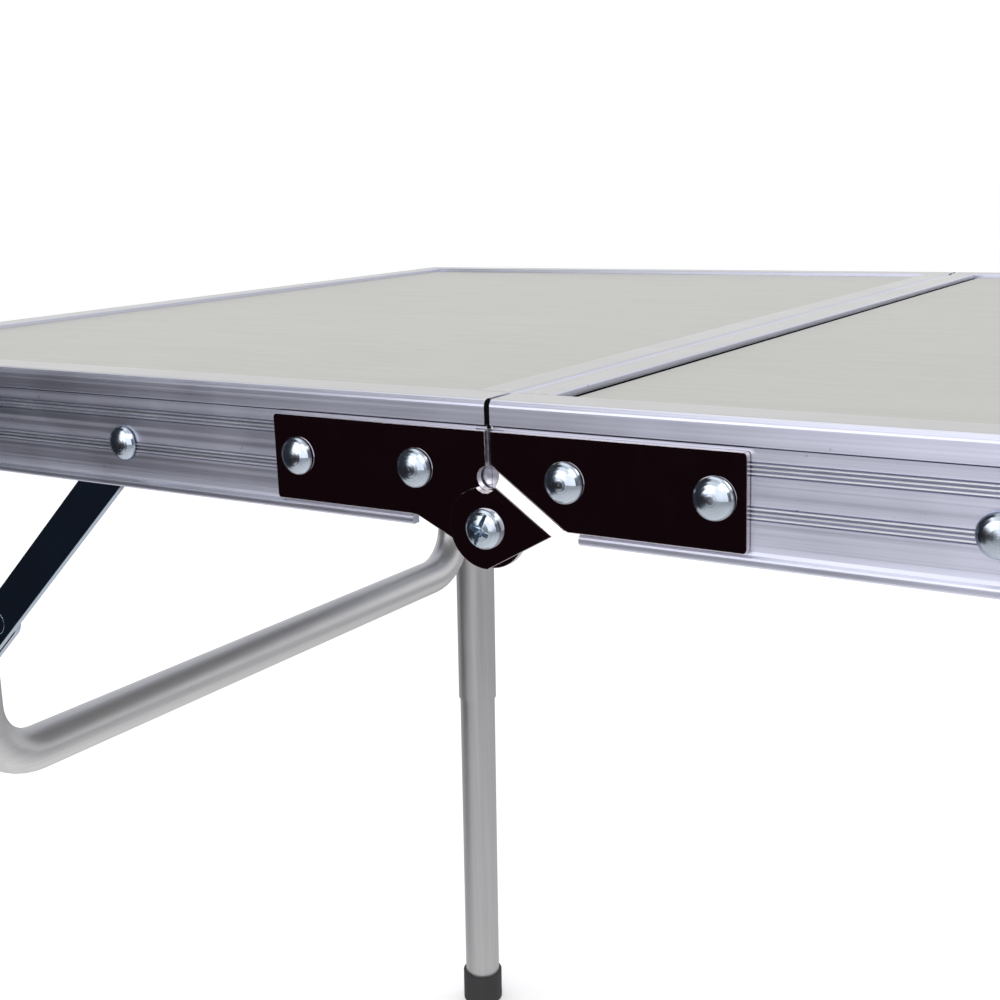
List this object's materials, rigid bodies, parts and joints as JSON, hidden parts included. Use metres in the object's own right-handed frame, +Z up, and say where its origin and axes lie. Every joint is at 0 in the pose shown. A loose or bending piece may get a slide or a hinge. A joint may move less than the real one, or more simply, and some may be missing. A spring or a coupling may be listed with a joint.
{
  "type": "folding table",
  "caption": "Two-part aluminium framed camping table that folds at the middle, with folding telescopic leg frames and jointed stays.",
  "frame": {"origin": "on the floor under the centre of the open table", "axes": "+X along the long side towards the right half, +Y across the table towards the back, +Z up"},
  "size_m": [0.6, 0.4106, 0.45],
  "materials": {
    "rail_aluminium": "anodised, brushed along its length",
    "panel_laminate": "satin laminate on fibreboard",
    "nickel_plate": "polished dark nickel",
    "zinc_rivet": "bright zinc",
    "tube_aluminium": "satin anodised tube",
    "black_plastic": "moulded",
    "foot_rubber": "matte"
  },
  "bodies": {
    "left_half": {"left_rail_front": "rail_aluminium", "left_rail_back": "rail_aluminium", "left_rail_end": "rail_aluminium", "left_rail_fold": "rail_aluminium", "left_panel": "panel_laminate", "left_corner_angles": "rail_aluminium", "left_corner_rivets": "zinc_rivet", "left_leaf_front": "nickel_plate", "left_leaf_back": "nickel_plate", "left_leaf_rivets": "zinc_rivet", "left_stay_rivets": "zinc_rivet", "left_leg_bolts": "zinc_rivet", "left_leg_spacers": "black_plastic"},
    "right_half": {"right_rail_front": "rail_aluminium", "right_rail_back": "rail_aluminium", "right_rail_end": "rail_aluminium", "right_rail_fold": "rail_aluminium", "right_panel": "panel_laminate", "right_corner_angles": "rail_aluminium", "right_corner_rivets": "zinc_rivet", "right_leaf_front": "nickel_plate", "right_leaf_back": "nickel_plate", "right_leaf_rivets": "zinc_rivet", "right_stay_rivets": "zinc_rivet", "right_leg_bolts": "zinc_rivet", "right_leg_spacers": "black_plastic", "hinge_screws": "zinc_rivet", "hinge_nuts": "zinc_rivet"},
    "left_legs": {"left_leg_front": "tube_aluminium", "left_leg_back": "tube_aluminium", "left_leg_plugs": "black_plastic", "left_brace": "tube_aluminium", "left_brace_caps": "black_plastic", "left_brace_welds": "tube_aluminium"},
    "left_lower_legs": {"left_lower_leg_front": "tube_aluminium", "left_lower_leg_back": "tube_aluminium", "left_lock_plugs": "black_plastic", "left_feet": "foot_rubber"},
    "left_stays_upper": {"left_stay_upper_front": "nickel_plate", "left_stay_upper_back": "nickel_plate", "left_knuckle_rivets": "zinc_rivet"},
    "left_stays_lower": {"left_stay_lower_front": "nickel_plate", "left_stay_lower_back": "nickel_plate", "left_stay_pins": "zinc_rivet"},
    "right_legs": {"right_leg_front": "tube_aluminium", "right_leg_back": "tube_aluminium", "right_leg_plugs": "black_plastic", "right_brace": "tube_aluminium", "right_brace_caps": "black_plastic", "right_brace_welds": "tube_aluminium"},
    "right_lower_legs": {"right_lower_leg_front": "tube_aluminium", "right_lower_leg_back": "tube_aluminium", "right_lock_plugs": "black_plastic", "right_feet": "foot_rubber"},
    "right_stays_upper": {"right_stay_upper_front": "nickel_plate", "right_stay_upper_back": "nickel_plate", "right_knuckle_rivets": "zinc_rivet"},
    "right_stays_lower": {"right_stay_lower_front": "nickel_plate", "right_stay_lower_back": "nickel_plate", "right_stay_pins": "zinc_rivet"}
  },
  "joints": [
    {"name": "top_fold", "type": "hinge", "parent": "left_half", "child": "right_half", "pos_m": [0, 0, 0.419], "axis": [0, 1, 0], "range_deg": [0, 60]},
    {"name": "left_leg_fold", "type": "hinge", "parent": "left_half", "child": "left_legs", "pos_m": [-0.2615, 0, 0.4315], "axis": [0, -1, 0], "range_deg": [0, 91.26]},
    {"name": "left_leg_slide", "type": "slide", "parent": "left_legs", "child": "left_lower_legs", "axis": [0.022, 0, 0.9998], "range_m": [0, 0.181]},
    {"name": "left_stay_upper_fold", "type": "hinge", "parent": "left_half", "child": "left_stays_upper", "pos_m": [-0.1265, 0, 0.43], "axis": [0, 1, 0], "range_deg": [0, 42.68]},
    {"name": "left_stay_lower_fold", "type": "hinge", "parent": "left_stays_upper", "child": "left_stays_lower", "pos_m": [-0.19784, 0, 0.36433], "axis": [0, -1, 0], "range_deg": [0, 181]},
    {"name": "right_leg_fold", "type": "hinge", "parent": "right_half", "child": "right_legs", "pos_m": [0.2615, 0, 0.4315], "axis": [0, 1, 0], "range_deg": [0, 91.26]},
    {"name": "right_leg_slide", "type": "slide", "parent": "right_legs", "child": "right_lower_legs", "axis": [-0.022, 0, 0.9998], "range_m": [0, 0.181]},
    {"name": "right_stay_upper_fold", "type": "hinge", "parent": "right_half", "child": "right_stays_upper", "pos_m": [0.1195, 0, 0.43], "axis": [0, -1, 0], "range_deg": [0, 42.68]},
    {"name": "right_stay_lower_fold", "type": "hinge", "parent": "right_stays_upper", "child": "right_stays_lower", "pos_m": [0.19456, 0, 0.3609], "axis": [0, 1, 0], "range_deg": [0, 180.96]}
  ],
  "couplings": [
    {"joint": "left_leg_slide", "follows": "left_leg_fold", "m_per_rad": 0.11351},
    {"joint": "left_stay_upper_fold", "follows": "left_leg_fold", "ratio": 0.46713},
    {"joint": "left_stay_lower_fold", "follows": "left_leg_fold", "ratio": 1.9828},
    {"joint": "right_leg_slide", "follows": "right_leg_fold", "m_per_rad": 0.11351},
    {"joint": "right_stay_upper_fold", "follows": "right_leg_fold", "ratio": 0.46713},
    {"joint": "right_stay_lower_fold", "follows": "right_leg_fold", "ratio": 1.9823}
  ]
}
